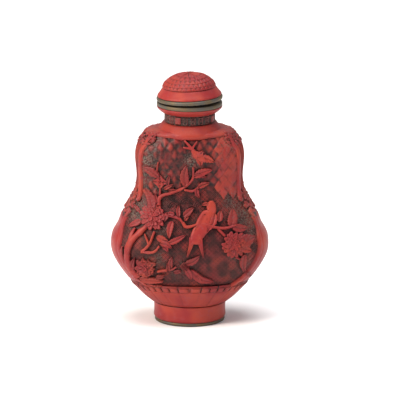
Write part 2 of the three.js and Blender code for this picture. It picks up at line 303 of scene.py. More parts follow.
def lacquer(name, carved=True):
    """Cinnabar lacquer: bright on what stands up; in what lies deep, darkened to maroon and near black as
    painted shade, and dusty.
    """
    finish = Finish(name)
    height = finish.attribute("height")
    tone = finish.attribute("tone")
    dirt = finish.attribute("dirt")
    cloud = finish.noise(0.13, 2.0)
    patch = finish.noise(0.5, 4.0, 0.6)
    grain = finish.noise(3.4, 4.0, 0.65)
    speck = finish.noise(2.6, 3.0, 0.7)

    body = finish.mix(finish.ramp(cloud, 0.36, 0.66), LACQUER_RED, LACQUER_ORANGE)
    body = finish.mix(finish.ramp(patch, 0.5, 0.8), body, LACQUER_ROSE)
    body = finish.mix(tone, body, LACQUER_DEEP)
    if carved:
        # Painted shade: the lower a place lies in the carving, the darker it is coloured, down to maroon and
        # near black.
        low = finish.mix(finish.ramp(patch, 0.42, 0.66), PAINTED_SHADE_DARK, GROUND_MAROON)
        body = finish.mix(finish.ramp(height, 0.08, 0.55), low, body)
    # Painted shade: ambient occlusion darkens the colour towards near black deep in crevices.
    unshaded_share = finish.painted_crevice_shade(1.3)
    body = finish.mix(finish.ramp(unshaded_share, 0.2, 0.85), PAINTED_SHADE_DARK, body)
    rubbed = finish.math("SUBTRACT", 1.15, height)
    gathered = finish.math("MULTIPLY", dirt, rubbed)
    loose = finish.ramp(speck, 0.47, 0.60)
    body = finish.mix(finish.math("MULTIPLY", gathered, loose), body, DUST)
    finish.colour(body)
    finish.rough(finish.ramp(grain, -0.6, 1.8, smooth=False))
    finish.shader.inputs["Specular IOR Level"].default_value = 0.24
    finish.bump(grain, 0.4, 0.06)
    return finish.material


def tarnished_brass(name):
    finish = Finish(name)
    patch = finish.noise(0.35, 4.0, 0.6)
    grain = finish.noise(4.0, 3.0)
    # Painted shade: ambient occlusion darkens the brass towards near black in its hollows and where it meets
    # other pieces.
    unshaded_share = finish.painted_crevice_shade(0.8)
    metal = finish.mix(finish.ramp(patch, 0.4, 0.65), (0.120, 0.086, 0.044), (0.085, 0.078, 0.066))
    metal = finish.mix(finish.ramp(unshaded_share, 0.2, 0.8), (0.020, 0.017, 0.012), metal)
    finish.colour(metal)
    finish.rough(finish.ramp(grain, -0.7, 1.5, smooth=False))
    finish.shader.inputs["Metallic"].default_value = 0.6
    finish.bump(grain, 0.3, 0.04)
    return finish.material


# ------------------------------------------------------------------ making and placing pieces

# Where old dirt has gathered on a face of the bottle: x, height, reach and strength.
DIRT_SPOTS = [
    (0.6, 50.8, 2.2, 1.0),
    (-13.2, 50.2, 2.8, 1.0),
    (-14.5, 44.5, 2.4, 0.6),
    (-8.6, 42.0, 2.6, 0.4),
    (-7.2, 45.8, 2.0, 0.5),
    (13.6, 38.6, 3.8, 0.9),
    (17.2, 33.6, 3.2, 1.0),
    (18.4, 29.0, 2.6, 0.8),
    (-16.8, 37.4, 3.6, 1.0),
    (-15.6, 34.2, 2.6, 0.7),
    (-20.0, 23.4, 2.0, 0.8),
    (-10.0, 22.4, 2.8, 0.6),
    (-3.0, 19.2, 3.0, 0.5),
    (-8.2, 30.6, 2.0, 0.4),
    (13.2, 57.0, 3.4, 0.9),
    (-12.8, 57.4, 3.4, 1.0),
    (18.6, 19.4, 2.6, 0.5),
    (14.0, 21.6, 3.0, 0.4),
    (8.4, 52.0, 2.4, 0.3),
    (3.4, 31.8, 1.6, 0.3),
]
NECK_DIRT = (60.9, 64.3)
SHOULDER_FROM = 55.2


def dirt_at(place):
    """How much dirt has gathered at a place; both faces are dirty in the same way."""
    if NECK_DIRT[0] < place.z < NECK_DIRT[1]:
        return 0.45
    if SHOULDER_FROM < place.z < SHOULDER_TOP and abs(place.x) > COLLAR_RADIUS + 0.4:
        return 0.75
    x = place.x if place.y < 0 else -place.x
    dirt = 0.05
    for spot_x, spot_z, reach, strength in DIRT_SPOTS:
        far = ((x - spot_x) ** 2 + (place.z - spot_z) ** 2) / reach**2
        if far < 4:
            dirt += strength * math.exp(-far)
    return min(dirt, 1.0)


def new_form():
    form = bmesh.new()
    for name in ("height", "tone", "dirt"):
        form.verts.layers.float.new(name)
    return form


def put(name, form, material):
    """A finished form as a piece of the bottle."""
    dirt = form.verts.layers.float["dirt"]
    for vert in form.verts:
        vert[dirt] = dirt_at(vert.co)
    bmesh.ops.scale(form, vec=(MM, MM, MM), verts=form.verts)
    mesh = bpy.data.meshes.new(name)
    form.to_mesh(mesh)
    form.free()
    for face in mesh.polygons:
        face.use_smooth = True
    mesh.materials.append(material)
    piece = bpy.data.objects.new(name, mesh)
    bpy.context.scene.collection.objects.link(piece)
    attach(piece, "root")
    return piece


HALF_TURN = Matrix.Rotation(math.pi, 3, "Z")


def rotated(form, matrix):
    bmesh.ops.rotate(form, cent=(0, 0, 0), matrix=matrix, verts=form.verts)
    return form


def turned(form, rings, sides, height=1.0):
    """Turns rings of (half width, half depth, power, height) into a closed form."""
    comb = [form.verts.new((1.0, 0.0, float(i))) for i in range(len(rings))]
    rungs = [form.edges.new(pair) for pair in zip(comb, comb[1:])]
    before = set(form.verts) - set(comb)
    bmesh.ops.spin(
        form,
        geom=comb + rungs,
        cent=(0, 0, 0),
        axis=(0, 0, 1),
        angle=2 * math.pi,
        steps=sides,
        use_merge=True,
        use_duplicate=False,
    )
    made = [vert for vert in form.verts if vert not in before]
    layer = form.verts.layers.float["height"]
    for vert in made:
        half_width, half_depth, power, z = rings[round(vert.co.z)]
        x = half_width * bulge(vert.co.x, power)
        y = half_depth * bulge(vert.co.y, power)
        vert.co = (x, y, z)
        vert[layer] = height
    bmesh.ops.remove_doubles(form, verts=made, dist=1e-4)
    faces = {face for vert in form.verts if vert not in before for face in vert.link_faces}
    bmesh.ops.recalc_face_normals(form, faces=list(faces))


def round_ring(radius, z):
    return (radius, radius, 2.0, z)


def grid(form, across, along):
    """A flat grid; gives each of its corners with its place, 0 to across and 0 to along."""
    made = bmesh.ops.create_grid(form, x_segments=across, y_segments=along, size=1.0)["verts"]
    places = []
    for vert in made:
        i = round((vert.co.x + 1) / 2 * across)
        j = round((vert.co.y + 1) / 2 * along)
        places.append((vert, i, j))
    return places


def blend(table, t):
    """Straight-line value between the rows (t, value) of a short table."""
    for (t0, value0), (t1, value1) in zip(table, table[1:]):
        if t <= t1:
            return value0 + (value1 - value0) * max(t - t0, 0.0) / (t1 - t0)
    return table[-1][1]


def curve_at(points, t):
    """A smooth curve through points, at t from 0 to 1, with its direction."""
    last = len(points) - 1
    at = min(max(t, 0.0), 1.0) * last
    i = min(int(at), last - 1)
    u = at - i
    p1, p2 = Vector(points[i]), Vector(points[i + 1])
    p0 = Vector(points[i - 1]) if i else p1 * 2 - p2
    p3 = Vector(points[i + 2]) if i + 2 <= last else p2 * 2 - p1
    slope = p2 - p0
    square = 2 * p0 - 5 * p1 + 4 * p2 - p3
    cube = 3 * p1 - p0 - 3 * p2 + p3
    place = 0.5 * (2 * p1 + slope * u + square * u**2 + cube * u**3)
    heading = slope + 2 * square * u + 3 * cube * u**2
    return place, heading.normalized()


GROUND_LIFT = -0.5  # the carved ground, against the plain recess of the solids
ROOT = -0.75  # how deep a carved piece runs into the ground
RELIEF = 1.0  # height of the tallest carving over the recess


def stroke(form, spine, half_width, top, place=on_front, across=8, along=12, tone=0.0, base=0.0):
    """One carved piece: a strip along a spine, with its own half width and top along and across."""
    height = form.verts.layers.float["height"]
    shade = form.verts.layers.float["tone"]
    inner = across - 2
    for vert, i, j in grid(form, along + 2, across):
        t = min(max((i - 1) / along, 0.0), 1.0)
        s = min(max((j - 1) / inner, 0.0), 1.0) * 2 - 1
        rim = i in (0, along + 2) or j in (0, across)
        point, heading = curve_at(spine, t)
        side = Vector((-heading.y, heading.x))
        reach = half_width(t)
        x, z = point + side * s * reach
        lift = base + ROOT if rim else base + top(t, s)
        vert.co = place(x, z, lift)
        # The sides of a piece, down to its buried rim, are coloured darker than its top: painted shade round
        # the carving.
        vert[height] = 0.1 if rim else max(lift - base + 0.15, 0.0) / RELIEF
        vert[shade] = tone


chance = random.Random(7)


def leaf(form, foot, tip, width, bend=0.12, raise_by=None, place=on_front, tone=None, base=0.0):
    """A toothed leaf with a raised rim, a sunk midrib and slanting veins."""
    foot, tip = Vector(foot), Vector(tip)
    along = tip - foot
    side = Vector((-along.y, along.x))
    spine = [foot, foot.lerp(tip, 0.5) + side * bend, tip]
    veins = max(3, round(along.length * 1.1))
    crown = chance.uniform(0.72, 0.98) if raise_by is None else raise_by
    droop = chance.uniform(-0.12, 0.12)

    def half_width(t):
        t = min(max(t, 0.0), 1.0)
        tooth = 1 + 0.1 * math.cos(2 * math.pi * (veins * t + 0.2))
        return width / 2 * tooth * (math.sin(math.pi * t**0.75) ** 0.8 + 0.04)

    def top(t, s):
        rib = math.exp(-((s / 0.2) ** 2))
        rim = abs(s) ** 3
        vein = 0.5 + 0.5 * math.cos(2 * math.pi * (veins * t - 0.9 * abs(s)))
        fold = 0.16 * rim - 0.26 * rib + 0.16 * vein * (1 - rib) * (1 - rim)
        return crown * (0.82 + fold + droop * s - 0.14 * t)

    steps = max(10, veins * 4)
    shade = chance.uniform(0.1, 0.7) if tone is None else tone
    stroke(form, spine, half_width, top, place, across=10, along=steps, tone=shade, base=base)


def branch(form, points, foot_width, tip_width, raise_by=0.7, place=on_front, tone=0.1):
    """A round-backed branch with small swellings."""
    length = sum((Vector(b) - Vector(a)).length for a, b in zip(points, points[1:]))
    seed = chance.uniform(0, 50)

    def half_width(t):
        swell = 1 + 0.3 * noise.noise(Vector((seed, t * length * 0.9, 0.0)))
        return (foot_width + (tip_width - foot_width) * t) / 2 * swell

    def top(t, s):
        bark = 0.14 * noise.noise(Vector((seed, t * length * 1.6, s * 1.5)))
        return raise_by * (0.55 + 0.45 * math.sqrt(max(0.0, 1 - s * s))) + bark

    steps = max(6, round(length * 2.2))
    stroke(form, points, half_width, top, place, across=8, along=steps, tone=tone)


def petal_ring(form, centre, inner, outer, count, width, raise_by, turn, place, tone):
    """A ring of narrow, pointed, hollowed petals around a centre."""
    centre = Vector(centre)
    for i in range(count):
        angle = turn + 2 * math.pi * (i + chance.uniform(-0.16, 0.16)) / count
        way = Vector((math.cos(angle), math.sin(angle)))
        reach = outer * chance.uniform(0.88, 1.08)
        side = Vector((-way.y, way.x)) * chance.uniform(-0.3, 0.3)
        spine = [centre + way * inner, centre + way * (inner + reach) / 2 + side, centre + way * reach]
        lean = chance.uniform(0.85, 1.05)

        def half_width(t):
            return width / 2 * (math.sin(math.pi * (0.1 + 0.86 * min(max(t, 0), 1))) ** 0.8 + 0.05)

        def top(t, s):
            return raise_by * lean * (0.86 - 0.2 * (1 - s * s) * math.sin(math.pi * t) + 0.1 * t)

        stroke(form, spine, half_width, top, place, across=6, along=6, tone=tone)


def boss(form, centre, radius, raise_by, place=on_front, tone=0.0, base=0.0, tall=1.0):
    """A small round boss."""
    height = form.verts.layers.float["height"]
    shade = form.verts.layers.float["tone"]
    made = bmesh.ops.create_uvsphere(form, u_segments=8, v_segments=6, radius=1.0)["verts"]
    for vert in made:
        lift = base + raise_by * vert.co.z
        x, z = centre[0] + radius * vert.co.x, centre[1] + radius * tall * vert.co.y
        up = vert.co.z
        vert.co = place(x, z, lift)
        # The lower slopes of a boss are coloured darker than its top: painted shade.
        vert[height] = max(0.15, 0.3 + 0.7 * up)
        vert[shade] = tone


def chrysanthemum(form, centre, radius, petals=15, place=on_front, turn=0.2):
    """Three rings of petals, the inner ones higher, around a knotted heart."""
    # Each ring: inner and outer radius, petals, petal width, height, turn and tone.
    for inner, outer, count, width, raise_by, shift, tone in (
        (0.4, 1.0, petals, 0.36, 0.74, 0.0, 0.15),
        (0.24, 0.74, petals - 3, 0.3, 0.92, 0.2, 0.05),
        (0.08, 0.46, petals - 6, 0.26, 1.04, 0.0, 0.0),
    ):
        reach = (radius * inner, radius * outer)
        petal_ring(form, centre, *reach, count, radius * width, raise_by, turn + shift, place, tone)
    boss(form, centre, radius * 0.15, 1.04, place)


# ------------------------------------------------------------------ the carved picture

FLOWERS = [((-11.0, 34.4), 3.9, 16), ((13.2, 26.3), 3.8, 16)]
BLOOM = ((-13.2, 19.1), 3.6)

# Branches: points, width at the foot, width at the tip, height.
BRANCHES = [
    ([(-15.4, 15.6), (-17.8, 19), (-18.6, 23.4), (-17.2, 27.2), (-12.8, 31.6)], 2.0, 1.3, 0.9),
    ([(-17.9, 26.4), (-17.2, 28.8), (-16.1, 30.8)], 1.2, 0.7, 0.75),
    ([(-19.3, 19.6), (-20.2, 22.8), (-20.0, 25.0)], 1.0, 0.5, 0.6),
    ([(-14.2, 24.1), (-12.0, 26.6), (-10.4, 30.3)], 0.9, 0.6, 0.75),
    ([(-12.0, 26.4), (-13.3, 29.4)], 0.8, 0.4, 0.75),
    ([(-14.4, 24.2), (-10.8, 24.3), (-8.9, 26.2)], 0.9, 0.6, 0.7),
    ([(-9.2, 37.6), (-8.6, 40.2), (-5.1, 41.5), (-1.8, 43.0), (0.9, 45.7), (1.1, 49.3)], 1.1, 0.6, 0.8),
    ([(-8.8, 40.4), (-8.7, 43.2)], 0.7, 0.5, 0.7),
    ([(-1.6, 42.4), (1.0, 42.0), (3.0, 43.4)], 0.8, 0.6, 0.7),
    ([(-9.0, 46.4), (-9.7, 47.4), (-9.3, 50.7)], 0.7, 0.4, 0.65),
    ([(-2.0, 32.9), (-0.7, 31.7), (3.4, 32.5), (7.0, 31.7), (10.4, 31.2), (13.8, 31.8)], 0.9, 0.7, 1.02),
    ([(8.4, 31.2), (10.6, 29.0)], 0.8, 0.6, 0.7),
    ([(-7.4, 35.2), (-3.4, 34.2), (-1.9, 32.7)], 0.9, 0.7, 0.7),
    ([(-9.6, 18.2), (-5.6, 19.0), (-4.0, 19.8)], 0.7, 0.6, 0.6),
    ([(13.6, 22.6), (15.4, 21.8), (16.6, 22.9)], 0.6, 0.5, 0.6),
]

# Leaves: foot, tip, width.
LEAVES = [
    ((-9.8, 28.9), (-6.0, 27.2), 1.9),
    ((-8.8, 26.9), (-5.2, 25.6), 1.6),
    ((-8.0, 26.2), (-6.4, 24.4), 1.1),
    ((-6.6, 26.9), (-1.1, 29.5), 1.6),
    ((-14.2, 33.2), (-18.0, 30.9), 1.4),
    ((-14.6, 35.2), (-16.6, 37.0), 1.0),
    ((-10.7, 36.6), (-13.0, 42.2), 2.4),
    ((-9.3, 38.2), (-10.2, 41.0), 1.0),
    ((-9.0, 46.2), (-13.8, 48.7), 2.1),
    ((-6.6, 43.3), (-5.9, 46.9), 1.1),
    ((-7.6, 42.4), (-4.9, 43.9), 1.1),
    ((-6.4, 42.2), (-3.8, 42.2), 0.9),
    ((-1.0, 43.3), (-0.9, 49.9), 2.5),
    ((1.2, 46.4), (6.7, 48.6), 2.1),
    ((1.4, 47.2), (5.2, 46.4), 1.2),
    ((2.5, 43.1), (5.9, 44.5), 1.5),
    ((2.2, 42.8), (3.0, 39.9), 1.3),
    ((8.7, 33.0), (9.1, 36.2), 1.9),
    ((12.2, 31.4), (12.6, 36.4), 2.7),
    ((12.6, 31.7), (17.2, 30.6), 2.1),
    ((14.6, 26.8), (19.2, 27.8), 3.6),
    ((15.2, 25.2), (18.2, 24.0), 2.0),
    ((16.3, 23.4), (16.1, 17.4), 1.7),
    ((17.2, 17.4), (18.2, 15.6), 1.3),
    ((-3.2, 34.4), (-3.2, 37.9), 1.2),
    ((-1.9, 34.6), (1.2, 37.2), 1.8),
    ((-4.4, 35.0), (-6.8, 35.4), 1.1),
    ((-1.6, 33.4), (-0.2, 35.2), 1.0),
    ((-5.1, 33.4), (-6.1, 28.4), 1.8),
    ((-6.4, 35.8), (-7.6, 33.2), 1.3),
    ((-1.2, 21.0), (3.0, 23.2), 1.7),
    ((-1.2, 19.4), (0.6, 15.7), 1.8),
    ((0.2, 18.9), (7.1, 14.8), 2.1),
    ((2.2, 17.2), (3.9, 14.3), 1.1),
    ((-5.6, 19.4), (-5.2, 22.9), 1.4),
    ((-6.4, 18.6), (-6.8, 20.9), 1.1),
    ((-4.8, 18.4), (-2.4, 18.6), 1.0),
    ((-14.4, 14.9), (-7.8, 15.0), 1.7),
    ((-12.6, 13.7), (-8.2, 13.3), 1.3),
    ((-14.8, 15.8), (-11.0, 14.0), 1.3),
    ((-10.0, 16.4), (-7.4, 17.0), 1.2),
    ((-16.8, 18.0), (-16.4, 22.2), 1.3),
]

# The perched bird from the crown of its head to where the tail parts, and how wide it is.
BIRD_SPINE = [
    (6.5, 39.1), (6.4, 37.5), (6.5, 35.9), (5.3, 34.3), (4.3, 32.4), (2.9, 30.4), (1.9, 28.4), (1.8, 26.8),
]
BIRD_WIDTHS = [(0.0, 0.45), (0.07, 1.15), (0.15, 1.4), (0.28, 1.3), (0.4, 2.2), (0.55, 2.45), (0.7, 2.05),
               (0.86, 1.75), (1.0, 1.6)]


def perched_bird(form):
    """A long-tailed bird on the branch, its head turned to the left."""

    def body_top(t, s):
        feather = 0.07 * math.cos(2 * math.pi * (t * 12 - abs(s) * 0.9)) * min(1.0, t * 4)
        return 0.6 + 0.38 * math.sqrt(max(0.0, 1 - s * s)) + feather

    stroke(form, BIRD_SPINE, lambda t: blend(BIRD_WIDTHS, t), body_top, across=14, along=40)
    leaf(form, (5.6, 38.2), (3.5, 37.9), 1.0, bend=-0.05, raise_by=0.95, tone=0.0)
    for foot, tip, width in (((4.6, 35.2), (1.6, 30.6), 2.3), ((7.5, 35.4), (5.2, 30.4), 1.9)):
        leaf(form, foot, tip, width, bend=0.1, raise_by=1.14, tone=0.0)
    for spine in ([(0.9, 28.6), (0.3, 26.2), (-0.7, 23.0)], [(2.8, 28.6), (3.4, 26.2), (4.1, 22.9)]):

        def tail_top(t, s):
            return 0.86 + 0.1 * math.cos(math.pi * s * 3) - 0.12 * t

        stroke(form, spine, lambda t: 1.0 - 0.82 * t, tail_top, across=8, along=16)


def flying_swallow(form):
    """A swallow high in the middle of the sky, with a forked tail."""

    def body_top(t, s):
        return 0.55 + 0.4 * math.sqrt(max(0.0, 1 - s * s))

    def body_width(t):
        return blend([(0.0, 0.4), (0.5, 1.2), (0.8, 1.1), (1.0, 0.3)], t)

    stroke(form, [(0.7, 54.4), (2.4, 52.9), (4.8, 51.2)], body_width, body_top, across=10, along=16)
    for foot, tip, width in (
        ((2.8, 52.2), (7.3, 50.9), 2.0),
        ((3.0, 52.2), (4.0, 54.3), 1.5),
        ((2.4, 52.6), (3.4, 49.8), 1.8),
    ):
        leaf(form, foot, tip, width, bend=0.08, raise_by=1.0, tone=0.0)
    for tip, width in (((-1.6, 57.2), 0.85), ((2.2, 56.9), 0.7), ((-1.9, 55.2), 0.7)):
        spine = [(1.6, 53.6), (0.8, 54.7), tip]
        stroke(form, spine, lambda t: width * (0.75 - 0.5 * t), lambda t, s: 0.8 - 0.12 * t, along=10)


def knotted_bloom(form, centre, radius, place=on_front):
    """A full bloom with curled, crowded petals."""
    for ring, count in ((0.9, 10), (0.56, 7), (0.22, 4)):
        for i in range(count):
            angle = 2 * math.pi * (i + ring * 3 + chance.uniform(-0.2, 0.2)) / count
            spot = Vector(centre) + Vector((math.cos(angle), math.sin(angle))) * radius * ring * 0.76
            lean = angle + chance.uniform(0.2, 1.4)
            way = Vector((math.cos(lean), math.sin(lean))) * radius * 0.3
            crown = 1.06 - 0.28 * ring
            shade = chance.uniform(0.0, 0.5)
            leaf(form, spot - way, spot + way, radius * 0.36, 0.25, crown, place, shade)


def bud(form, centre, place=on_front):
    """A four-sided bud with its points up, down and to the sides."""
    centre = Vector(centre)
    for i in range(4):
        angle = math.pi * i / 2
        way = Vector((math.cos(angle), math.sin(angle)))
        leaf(form, centre - way * 0.3, centre + way * 2.0, 1.9, 0.0, 0.95, place, 0.0)


def front_carving():
    form = new_form()
    for centre, radius, petals in FLOWERS:
        chrysanthemum(form, centre, radius, petals)
    knotted_bloom(form, *BLOOM)
    for points, foot, tip, raise_by in BRANCHES:
        branch(form, points, foot, tip, raise_by)
    for foot, tip, width in LEAVES:
        leaf(form, foot, tip, width, bend=chance.uniform(-0.14, 0.14))
    bud(form, (-8.7, 44.6))
    knotted_bloom(form, (-1.4, 20.0), 1.5)
    perched_bird(form)
    flying_swallow(form)
    return form


def back_carving():
    """The back, plainer: one spray of blooms and leaves."""
    form = new_form()
    for points, foot, tip in (
        ([(9.0, 15.0), (6.0, 22.0), (8.0, 30.0), (2.0, 38.0), (1.0, 47.0)], 2.0, 0.8),
        ([(6.4, 24.0), (-2.0, 27.0), (-9.0, 33.0)], 1.1, 0.7),
        ([(3.4, 36.4), (-3.0, 40.0), (-6.0, 45.0)], 0.9, 0.6),
    ):
        branch(form, points, foot, tip)
    for centre, radius, petals in (((-10.5, 33.5), 3.7, 14), ((13.0, 27.5), 3.6, 14), ((1.0, 49.0), 3.0, 12)):
        chrysanthemum(form, centre, radius, petals)
    knotted_bloom(form, (-6.6, 18.5), 3.4)
    for foot, tip, width in (
        ((8.0, 28.0), (2.6, 33.0), 2.2),
        ((7.0, 22.0), (13.6, 18.4), 2.4),
        ((-3.0, 27.6), (-9.6, 25.4), 2.2),
        ((3.0, 38.0), (9.4, 40.6), 2.1),
        ((2.0, 42.4), (8.4, 47.4), 2.1),
        ((-6.0, 44.0), (-10.4, 49.4), 2.0),
        ((6.6, 20.0), (0.6, 15.6), 1.9),
        ((2.8, 26.0), (-1.4, 21.4), 2.2),
    ):
        leaf(form, foot, tip, width)
    return rotated(form, HALF_TURN)


# ------------------------------------------------------------------ the ground behind the picture

DIAPER_PITCH = 0.92
SKY_FROM = 43.0  # above this the ground is cut in large worn lozenges
SKY_LOZENGE = (2.9, 3.9)
SKY_MIDDLE = SKY_FROM + 6.0
SKY_COUNT = 16
SKY_STEPS = 8
SKY_LIFT = GROUND_LIFT + 0.12
SKY_WAVER = 0.35  # how far a lozenge's outline strays from a true one
CLOUD_EDGE = 8.6  # to the right of this the lozenges run together into a smooth bank of cloud
CLOUD_FROM = 40.4


def skyline(x):
    """Where the fine diaper gives way to the large lozenges."""
    return CLOUD_FROM if x > CLOUD_EDGE else SKY_FROM - 0.18 * abs(x - 2.0)


def fine_diaper(form, keep, place, middle, reach):
    """A fine diaper of small pointed lozenges in slanting rows, over the part of a face to be kept."""
    height = form.verts.layers.float["height"]
    cells = round(2 * reach / DIAPER_PITCH)
    made = bmesh.ops.create_grid(form, x_segments=cells, y_segments=cells, size=reach)["verts"]
    bmesh.ops.rotate(form, cent=(0, 0, 0), matrix=Matrix.Rotation(math.pi / 4, 3, "Z"), verts=made)
    bmesh.ops.translate(form, vec=(0, middle, 0), verts=made)
    outside = [face for face in form.faces if not keep(*face.calc_center_median().xy)]
    bmesh.ops.delete(form, geom=outside, context="FACES")
    cut = form.faces[:]
    bmesh.ops.inset_individual(form, faces=cut, thickness=0.16, depth=0.26, use_even_offset=True)
    tops = [face for face in form.faces if face.calc_center_median().z > 0.25]
    bmesh.ops.inset_individual(form, faces=tops, thickness=0.1, depth=-0.12, use_even_offset=True)
    for vert in form.verts:
        x, z, lift = vert.co
        worn = 0.5 + 0.9 * noise.noise(Vector((x * 0.35, z * 0.35, 4.0)))
        # The colour follows the lift, so the grooves of the diaper are painted shade; worn varies how bright
        # the tops are at random.
        vert[height] = 2.6 * lift * min(max(worn, 0.4), 1.0)
        vert.co = place(x, z, lift + GROUND_LIFT)


def on_panel(x, z):
    low, high = PANEL[0][0] - 0.9, PANEL[-1][0] + 1.0
    return low < z < high and abs(x) < panel_half_width(z) + 0.7


def lozenge_centre(cell):
    u, v = cell[0] + 0.5, cell[1] + 0.5
    return (u - v) * SKY_LOZENGE[0] / 2, SKY_MIDDLE + (u + v) * SKY_LOZENGE[1] / 2


def sky_lozenges(form):
    """Large low lozenges, most of them nearly worn away, and the bank of cloud beside them."""
    height = form.verts.layers.float["height"]
    shade = form.verts.layers.float["tone"]
    steps = SKY_COUNT * SKY_STEPS
    bmesh.ops.create_grid(form, x_segments=steps, y_segments=steps, size=SKY_COUNT / 2)
    outside = []
    for face in form.faces:
        middle = face.calc_center_median()
        x, z = lozenge_centre((math.floor(middle.x), math.floor(middle.y)))
        if z < skyline(x) or not on_panel(min(max(x, -13.0), 13.0), min(z, PANEL[-1][0])):
            outside.append(face)
    bmesh.ops.delete(form, geom=outside, context="FACES")
    for vert in form.verts:
        u, v = vert.co.x, vert.co.y
        cell = (math.floor(u + 1e-4), math.floor(v + 1e-4))
        edge = min(u - cell[0], cell[0] + 1 - u, v - cell[1], cell[1] + 1 - v)
        cloud = lozenge_centre(cell)[0] > CLOUD_EDGE
        proud = 0.45 + 0.9 * noise.noise(Vector((cell[0] * 3.7, cell[1] * 5.3, 1.5)))
        proud = 1.0 if cloud else min(max(proud, 0.0), 1.0)
        groove = 0.72 if cloud else 0.35
        rise = groove + (1 - groove) * step_up(edge, 0.0, 0.12 if cloud else 0.36)
        rub = noise.noise(Vector((u * 1.7, v * 1.7, 8.0)))
        shift_x = SKY_WAVER * noise.noise(Vector((u * 0.8, v * 0.8, 3.0)))
        shift_z = SKY_WAVER * noise.noise(Vector((u * 0.8, v * 0.8, 6.0)))
        x = (u - v) * SKY_LOZENGE[0] / 2 + shift_x
        z = SKY_MIDDLE + (u + v) * SKY_LOZENGE[1] / 2 + shift_z
        limit = panel_half_width(z) + 0.5
        x = min(max(x, -limit), limit)
        z = min(z, PANEL[-1][0] + 0.9)
        lift = (0.1 + 0.34 * proud) * rise + 0.12 * rub
        vert.co = on_front(x, z, lift + SKY_LIFT)
        # Colour follows depth: the grooves round each lozenge and the lower lozenges are coloured darker,
        # painted shade.
        vert[height] = (0.2 + 0.3 * proud) * rise + 0.3 * rub
        vert[shade] = 0.12 if cloud else 0.75 - 0.5 * proud


def water_arcs():
    """Fine arcs of water on the ground under the upper branch."""
    form = new_form()
    for centre in ((-4.6, 37.2), (-1.0, 38.2), (3.0, 37.4), (-6.4, 39.0), (0.8, 35.8)):
        for radius in (0.7, 1.3, 1.9):
            angles = [math.pi * k / 5 for k in range(6)]
            spine = [(centre[0] + radius * math.cos(a), centre[1] + radius * math.sin(a)) for a in angles]
            # The sunk arcs are coloured dark, as painted shade in their grooves.
            stroke(form, spine, lambda t: 0.13, lambda t, s: -0.12, along=10, across=4, tone=0.8)
    return form


def panel_ground():
    form = new_form()

    def keep(x, z):
        return on_panel(x, z) and z < skyline(x) + 1.0

    fine_diaper(form, keep, on_front, (PANEL[0][0] + PANEL[-1][0]) / 2, 36.0)
    return form


def sky_ground():
    form = new_form()
    sky_lozenges(form)
    return form


# ------------------------------------------------------------------ the sides

ARC_STEPS = 180
ARCS = {}


def arc_table(z):
    """Turns and lengths along one level of the body, from the middle of a side to the front."""
    key = round(z * 4)
    if key not in ARCS:
        half_width, half_depth, power = smooth_section(key / 4)
        turns = [math.pi / 2 * (i / ARC_STEPS) ** 1.4 for i in range(ARC_STEPS + 1)]
        across = [half_width * bulge(math.cos(turn), power) for turn in turns]
        forward = [half_depth * bulge(math.sin(turn), power) for turn in turns]
        spots = [Vector(pair) for pair in zip(across, forward)]
        lengths = [0.0]
        for a, b in zip(spots, spots[1:]):
            lengths.append(lengths[-1] + (b - a).length)
        ARCS[key] = (turns, lengths, spots)
    return ARCS[key]


def turn_at(length, z):
    """The turn that lies a length from the middle of a side, towards the front."""
    turns, lengths = arc_table(z)[:2]
    spot = min(max(bisect.bisect_left(lengths, abs(length)), 1), ARC_STEPS)
    share = (abs(length) - lengths[spot - 1]) / (lengths[spot] - lengths[spot - 1])
    return math.copysign(turns[spot - 1] + (turns[spot] - turns[spot - 1]) * min(share, 1.0), length)


def panel_edge_length(z):
    """How far the edge of the panel lies from the middle of a side, along the surface."""
    lengths, spots = arc_table(z)[1:]
    edge = panel_half_width(z)
    for length, spot in zip(lengths, spots):
        if spot.x < edge:
            return length
    return lengths[-1]


def smooth_edge_length(z):
    low = math.floor(z * 4) / 4
    share = (z - low) * 4
    return panel_edge_length(low) * (1 - share) + panel_edge_length(low + 0.25) * share


def on_side(length, z, lift, way=1):
    """A place on a side: a length from its middle towards the front, and a height."""
    turn = -turn_at(length, z)
    return around(turn if way > 0 else math.pi - turn, z, lift)


STRIP = 1.5  # width of the plain strip round a panel
LOBE_FROM, LOBE_TO = 13.4, 33.6  # the plain bellied part of a side
STRIP_END = 38.6
WALL_SLANT = 0.5
SIDE_RECESS = 0.6  # the diaper of a side, under its strips
SIDE_DIAPER_MIDDLE = 46.0
SIDE_DIAPER_REACH = 26.0
SIDE_ROWS = 190
SIDE_COLUMNS = 60
STRIP_COLUMNS = 9


def step_up(value, low, high):
    t = min(max((value - low) / (high - low), 0.0), 1.0)
    return t * t * (3 - 2 * t)


def side_lift(inward, z):
    """Height of a side over the body: inward is the distance from the edge of the panel."""
    crown = 0.04 - 0.16 * abs(2 * min(inward, STRIP) / STRIP - 1) ** 4
    strip = 1 - step_up(inward, STRIP - 0.05, STRIP + 0.2)
    waist = step_up(z, LOBE_TO - 0.4, LOBE_TO + 0.5) * (1 - step_up(z, STRIP_END - 0.4, STRIP_END + 0.3))
    strip_height = crown - 0.75 * waist
    lobe = (1 - step_up(z, LOBE_TO - 1.2, LOBE_TO + 0.2)) * step_up(z, LOBE_FROM - 0.6, LOBE_FROM + 0.6)
    roll = -0.16 * (1 - step_up(inward, STRIP - 0.4, STRIP + 0.7))
    inner_height = -0.62 * (1 - lobe) + roll * lobe
    return strip_height * strip + inner_height * (1 - strip), max(strip * (1 - waist), lobe)


